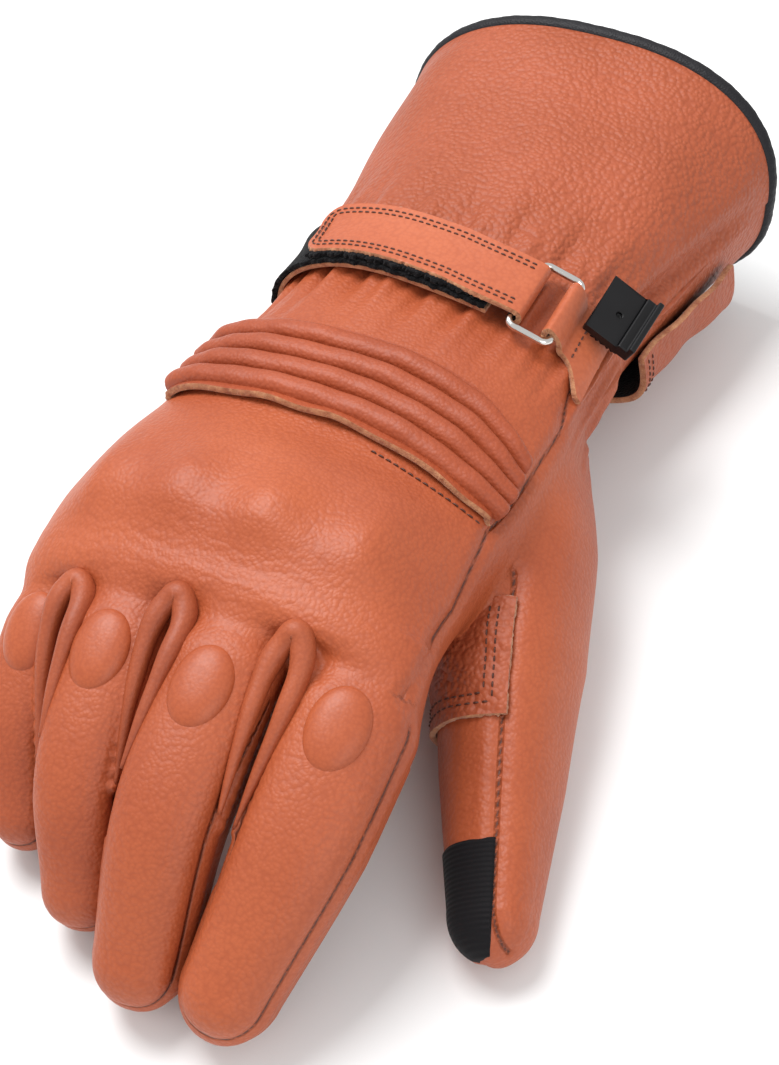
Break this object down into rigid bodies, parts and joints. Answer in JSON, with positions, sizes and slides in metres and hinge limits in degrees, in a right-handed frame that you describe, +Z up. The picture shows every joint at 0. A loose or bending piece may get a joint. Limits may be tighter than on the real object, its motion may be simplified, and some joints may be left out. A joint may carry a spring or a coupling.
{
  "type": "riding glove",
  "caption": "Padded leather riding glove for the right hand with a domed knuckle guard, flex ribs, a ring and strap at the wrist and a flared cuff.",
  "frame": {"origin": "on the ground, in the middle of the overall box of the standing glove", "axes": "+Z up, off the back of the hand; +Y from the fingertips towards the cuff; +X towards the thumb"},
  "size_m": [0.1425, 0.2976, 0.076],
  "materials": {
    "leather": "semi-matt grained tan leather",
    "binding": "black leathercloth and webbing",
    "hook_and_loop": "black hook-and-loop tape",
    "touch_fabric": "black conductive suede",
    "lining": "black fleece",
    "steel": "polished nickel",
    "plastic": "black moulded plastic"
  },
  "bodies": {
    "hand": {"back_panel": "leather", "palm_panel": "leather", "lining": "lining", "knuckle_guard": "leather", "index_base": "leather", "index_knuckle_pad": "leather", "middle_base": "leather", "middle_knuckle_pad": "leather", "ring_base": "leather", "ring_knuckle_pad": "leather", "little_base": "leather", "little_knuckle_pad": "leather", "fourchette_index_middle": "leather", "fourchette_middle_ring": "leather", "fourchette_ring_little": "leather", "thumb_base": "leather", "thumb_web_patch": "leather", "palm_patch": "leather", "flex_base": "leather", "flex_rib_1": "leather", "flex_rib_2": "leather", "flex_rib_3": "leather", "flex_rib_4": "leather", "cuff_back": "leather", "cuff_palm_little_side": "leather", "cuff_palm_thumb_side": "leather", "cuff_gusset": "binding", "rim_binding": "binding", "strap_base": "leather", "strap_loop_tape": "hook_and_loop", "ring_tab_fold": "leather", "ring_tab": "leather", "flap_loop_tape": "hook_and_loop", "clip_loop": "binding"},
    "index_finger": {"index_tip": "leather"},
    "middle_finger": {"middle_tip": "leather"},
    "ring_finger": {"ring_tip": "leather"},
    "little_finger": {"little_tip": "leather"},
    "thumb": {"thumb_tip": "leather", "thumb_touch_pad": "touch_fabric"},
    "ring": {"strap_ring": "steel", "strap_fold": "leather"},
    "strap_tail": {"strap_tail": "leather", "strap_hook_tape": "hook_and_loop"},
    "cuff_flap": {"cuff_flap": "leather", "flap_hook_tape": "hook_and_loop"},
    "pair_clip": {"pair_clip": "plastic"}
  },
  "joints": [
    {"name": "index_curl", "type": "hinge", "parent": "hand", "child": "index_finger", "pos_m": [0.02289, -0.10407, 0.0431], "axis": [0.9997, -0.0218, -0.0096], "range_deg": [0, 55], "stiffness_Nm_per_rad": 0.12},
    {"name": "middle_curl", "type": "hinge", "parent": "hand", "child": "middle_finger", "pos_m": [-0.00714, -0.10565, 0.04631], "axis": [0.999, 0.0413, 0.016], "range_deg": [0, 55], "stiffness_Nm_per_rad": 0.12},
    {"name": "ring_curl", "type": "hinge", "parent": "hand", "child": "ring_finger", "pos_m": [-0.03352, -0.10174, 0.04338], "axis": [0.9928, 0.1099, 0.0467], "range_deg": [0, 55], "stiffness_Nm_per_rad": 0.12},
    {"name": "little_curl", "type": "hinge", "parent": "hand", "child": "little_finger", "pos_m": [-0.05769, -0.09589, 0.03532], "axis": [0.9949, 0.0875, 0.0502], "range_deg": [0, 55], "stiffness_Nm_per_rad": 0.12},
    {"name": "thumb_curl", "type": "hinge", "parent": "hand", "child": "thumb", "pos_m": [0.04936, -0.05613, 0.01823], "axis": [0.3941, 0.3417, -0.8532], "range_deg": [0, 30], "stiffness_Nm_per_rad": 0.15},
    {"name": "ring_pivot", "type": "hinge", "parent": "hand", "child": "ring", "pos_m": [0.02192, 0.03986, 0.064], "axis": [0, 1, 0], "range_deg": [0, 35]},
    {"name": "strap_peel", "type": "hinge", "parent": "ring", "child": "strap_tail", "pos_m": [0.01102, 0.03986, 0.06768], "axis": [0, 1, 0], "range_deg": [0, 110]},
    {"name": "flap_peel", "type": "hinge", "parent": "hand", "child": "cuff_flap", "pos_m": [0.03819, 0.08428, 0.03584], "axis": [-0.1891, -0.9813, 0.0371], "range_deg": [0, 60]},
    {"name": "clip_lift", "type": "hinge", "parent": "hand", "child": "pair_clip", "pos_m": [0.02721, 0.05126, 0.06248], "axis": [-0.1025, -0.9797, -0.1722], "range_deg": [0, 70]}
  ]
}
